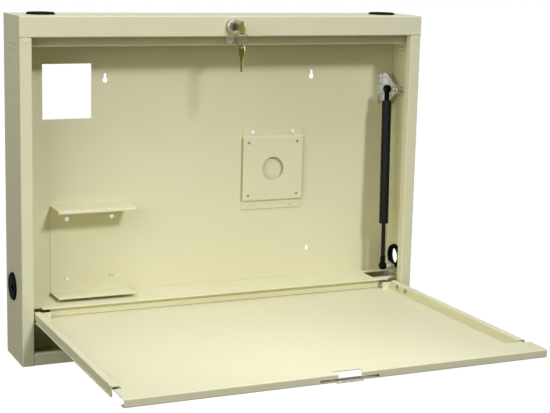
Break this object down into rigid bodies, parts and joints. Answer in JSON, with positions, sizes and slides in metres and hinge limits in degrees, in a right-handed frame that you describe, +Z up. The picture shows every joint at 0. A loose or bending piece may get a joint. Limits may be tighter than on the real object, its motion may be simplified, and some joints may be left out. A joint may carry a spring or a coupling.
{
  "type": "wall-mounted desk",
  "caption": "Shallow wall cabinet of folded steel whose front folds down into a level work tray, with a gas spring, cam lock, cable grommets and a small-computer cradle.",
  "frame": {"origin": "midway between the entry holes of the two keyholes, on the rear face of the recessed back panel", "axes": "+X to the right as seen from the front, +Y into the wall, +Z up; the open tray reaches along -Y"},
  "size_m": [0.7692, 0.5905, 0.6037],
  "materials": {
    "cream_paint": "fine satin powder coat, warm cream",
    "zinc_plate": "bright zinc plate",
    "nickel_plate": "nickel plate, lightly worn",
    "black_plastic": "fine matt moulding grain",
    "black_rubber": "matt",
    "black_enamel": "semi-gloss black enamel",
    "brass": "stamped, worn bright at the edges"
  },
  "bodies": {
    "cabinet": {"side_left": "cream_paint", "side_right": "cream_paint", "header": "cream_paint", "bottom_panel": "cream_paint", "back_panel": "cream_paint", "stop_rail": "cream_paint", "hinge_ledge": "cream_paint", "ledge_bumpers": "black_rubber", "stile_rivets": "cream_paint", "hinge_bush_left": "black_plastic", "hinge_bush_right": "black_plastic", "grommet_top_left": "black_plastic", "grommet_top_right": "black_plastic", "grommet_side_left": "black_plastic", "grommet_side_right": "black_plastic", "pc_cradle": "cream_paint", "cradle_screws": "zinc_plate", "screen_plate": "cream_paint", "screen_rivets": "zinc_plate", "lock_barrel": "nickel_plate", "lock_nut": "zinc_plate", "spring_bracket_upper": "zinc_plate", "bracket_screws": "zinc_plate", "spring_stud_upper": "zinc_plate", "stud_nut_upper": "zinc_plate"},
    "cap_tl": {"cap_top_left": "black_plastic"},
    "cap_tr": {"cap_top_right": "black_plastic"},
    "cap_sl": {"cap_side_left": "black_plastic"},
    "lock": {"lock_plug": "nickel_plate", "lock_cam": "zinc_plate", "cam_screw": "zinc_plate", "key_main": "brass"},
    "keys": {"key_ring": "zinc_plate", "key_spare": "brass"},
    "tray": {"tray_pan": "cream_paint", "strike_plate": "zinc_plate", "strike_rivets": "zinc_plate", "hinge_plate_left": "zinc_plate", "hinge_plate_right": "zinc_plate", "hinge_pins": "zinc_plate", "hinge_bolts": "zinc_plate", "hinge_nuts": "zinc_plate", "spring_stud_lower": "zinc_plate", "spring_bracket_lower": "zinc_plate", "foot_bolts": "zinc_plate"},
    "strut_tube": {"spring_socket_upper": "black_plastic", "spring_tube": "black_enamel"},
    "strut_rod": {"spring_rod": "black_enamel", "spring_socket_lower": "black_plastic", "spring_ball_lower": "zinc_plate"}
  },
  "joints": [
    {"name": "tray_hinge", "type": "hinge", "parent": "cabinet", "child": "tray", "pos_m": [0, -0.0917, -0.4075], "axis": [-1, 0, 0], "range_deg": [0, 90]},
    {"name": "strut_swing", "type": "hinge", "parent": "cabinet", "child": "strut_tube", "pos_m": [0.343, -0.0452, -0.0228], "axis": [1, 0, 0], "range_deg": [0, 0.8906]},
    {"name": "strut_slide", "type": "slide", "parent": "strut_tube", "child": "strut_rod", "axis": [0, -0.0279, -0.9996], "range_m": [0, 0.0782]},
    {"name": "lock_turn", "type": "hinge", "parent": "cabinet", "child": "lock", "pos_m": [0, -0.0982, 0.1], "axis": [0, -1, 0], "range_deg": [0, 45]},
    {"name": "keys_swing", "type": "hinge", "parent": "lock", "child": "keys", "pos_m": [0, -0.1402, 0.0911], "axis": [1, 0, 0], "range_deg": [-30, 30]},
    {"name": "cap_turn_top_left", "type": "hinge", "parent": "cabinet", "child": "cap_tl", "pos_m": [-0.329, -0.0372, 0.118], "axis": [0, 0, 1], "continuous": true},
    {"name": "cap_turn_top_right", "type": "hinge", "parent": "cabinet", "child": "cap_tr", "pos_m": [0.329, -0.0372, 0.118], "axis": [0, 0, 1], "continuous": true},
    {"name": "cap_turn_side", "type": "hinge", "parent": "cabinet", "child": "cap_sl", "pos_m": [-0.381, -0.0372, -0.3525], "axis": [-1, 0, 0], "continuous": true}
  ],
  "couplings": [
    {"joint": "strut_swing", "follows": "tray_hinge", "ratio": 0.0097847},
    {"joint": "strut_slide", "follows": "tray_hinge", "m_per_rad": 0.049656}
  ]
}
